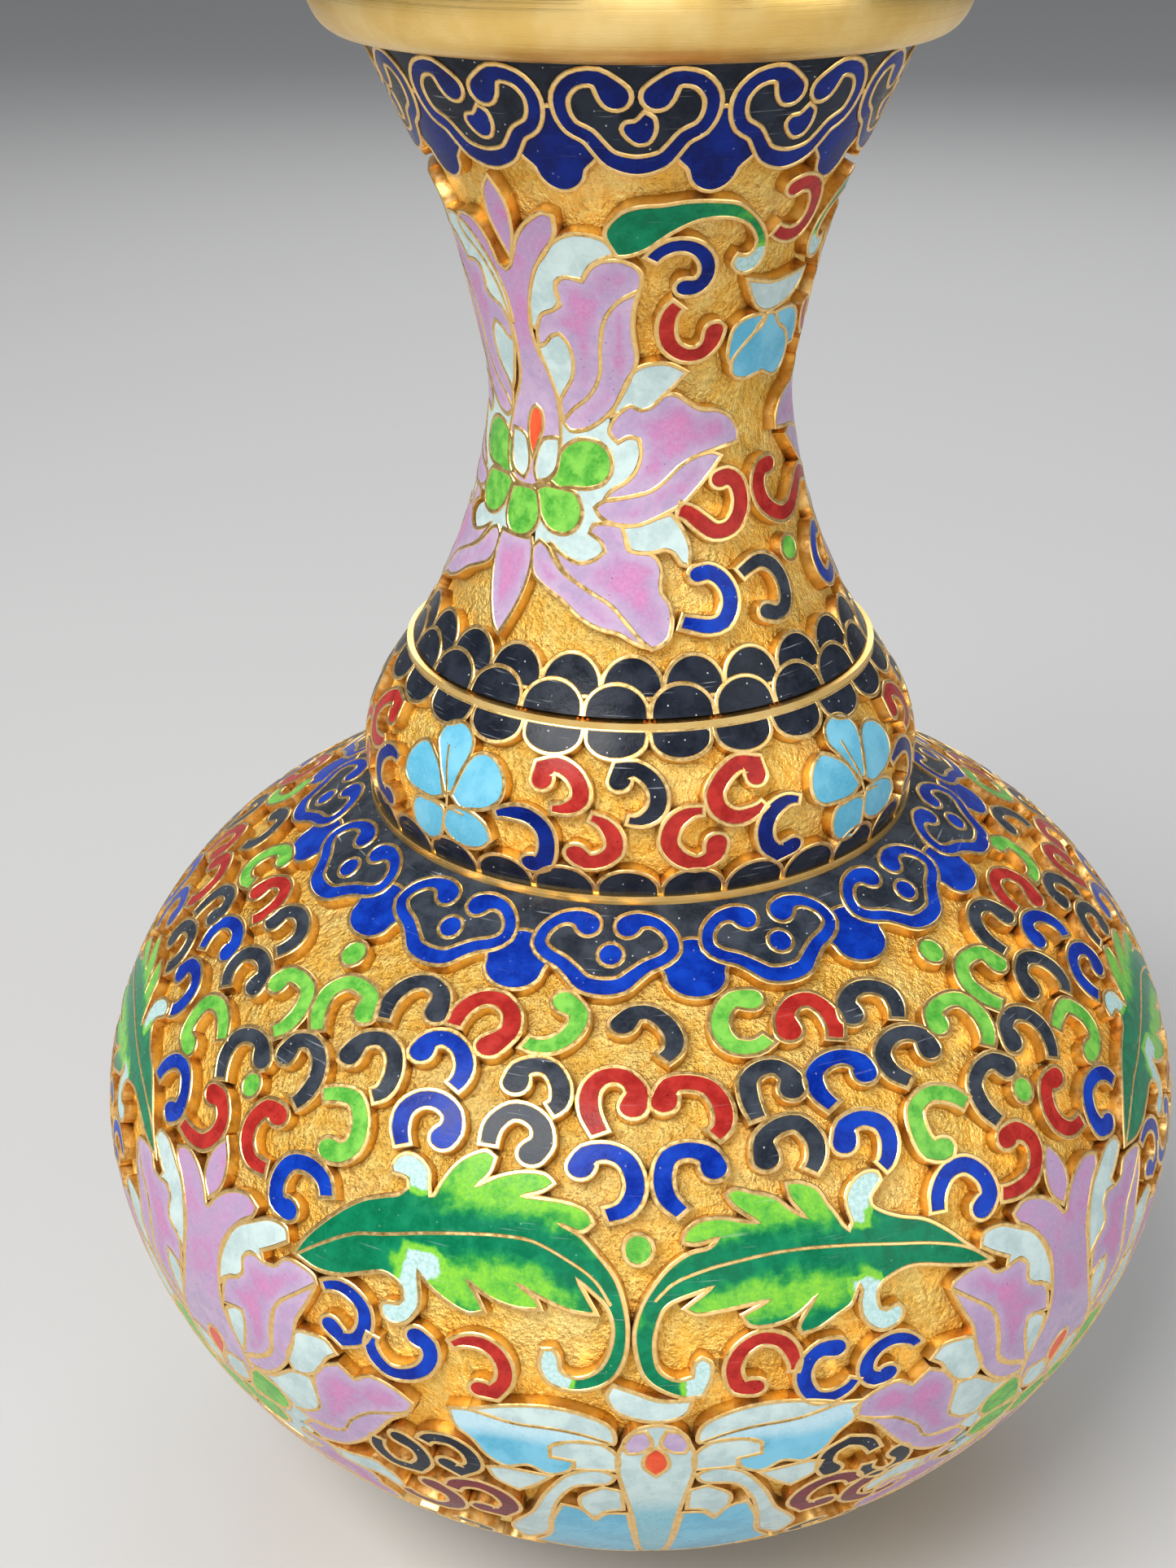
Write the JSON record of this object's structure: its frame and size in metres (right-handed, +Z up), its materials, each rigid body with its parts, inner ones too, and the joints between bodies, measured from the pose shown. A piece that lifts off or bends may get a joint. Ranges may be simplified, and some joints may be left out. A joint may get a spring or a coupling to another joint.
{
  "type": "cloisonne vase",
  "caption": "Bottle-shaped cloisonne vase with a round body, waisted neck and flared mouth, in raised enamel on gilt copper.",
  "frame": {"origin": "centre of the foot's resting plane", "axes": "+Z up along the vase's axis; -Y is the front, midway between two large body lotuses"},
  "size_m": [0.1092, 0.1092, 0.1568],
  "materials": {
    "gilt_ground": "rough gilt copper, etched between the raised cells",
    "rim_brass": "satin turned brass",
    "ring_gilt": "polished gilt wire",
    "counter_enamel": "thin glossy counter-enamel",
    "black_enamel": "polished enamel, finely scratched",
    "cobalt_enamel": "polished enamel",
    "navy_enamel": "polished enamel",
    "red_enamel": "polished enamel, slightly pitted",
    "maroon_enamel": "polished enamel",
    "green_enamel": "polished enamel, mottled",
    "leaf_enamel": "polished enamel, mottled lime and dark green",
    "pink_enamel": "polished enamel, shaded lilac to pink",
    "pale_enamel": "polished milky enamel",
    "sky_enamel": "polished enamel"
  },
  "bodies": {
    "root": {"base_lining": "counter_enamel", "base_plate": "gilt_ground", "base_underside_enamel": "counter_enamel", "belly_blue_scrolls": "cobalt_enamel", "belly_dark_scrolls": "black_enamel", "belly_maroon_scrolls": "maroon_enamel", "body_black_scrolls": "black_enamel", "body_blue_scrolls": "cobalt_enamel", "body_green_dots": "green_enamel", "body_green_scrolls": "green_enamel", "body_leaves": "leaf_enamel", "body_lotus_calyx": "green_enamel", "body_lotus_petals": "pink_enamel", "body_lotus_stamens": "pink_enamel", "body_pale_flower_hearts": "pale_enamel", "body_pale_flowers": "sky_enamel", "body_red_scrolls": "red_enamel", "collar_black_scrolls": "black_enamel", "collar_blue_scrolls": "navy_enamel", "collar_florets": "sky_enamel", "collar_foot_scales": "black_enamel", "collar_hanging_scales": "black_enamel", "collar_lining": "counter_enamel", "collar_red_scrolls": "red_enamel", "collar_shell": "gilt_ground", "foot_ring": "rim_brass", "foot_scales": "black_enamel", "junction_ring": "ring_gilt", "lower_body_lining": "counter_enamel", "lower_body_shell": "gilt_ground", "neck_black_scrolls": "black_enamel", "neck_blue_buds": "sky_enamel", "neck_blue_scrolls": "cobalt_enamel", "neck_cloud_heads": "navy_enamel", "neck_cloud_lobes": "navy_enamel", "neck_leaves": "leaf_enamel", "neck_lining": "counter_enamel", "neck_lotus_calyx": "green_enamel", "neck_lotus_inner_petals": "pale_enamel", "neck_lotus_petals": "pink_enamel", "neck_red_scrolls": "red_enamel", "neck_scales_lower": "black_enamel", "neck_scales_upper": "black_enamel", "neck_shell": "gilt_ground", "neck_top_band": "black_enamel", "ridge_ring": "ring_gilt", "rim_bead": "rim_brass", "shoulder_cloud_heads": "cobalt_enamel", "shoulder_cloud_lobes": "cobalt_enamel", "shoulder_top_band": "black_enamel", "upper_body_lining": "counter_enamel", "upper_body_shell": "gilt_ground"}
  },
  "joints": []
}
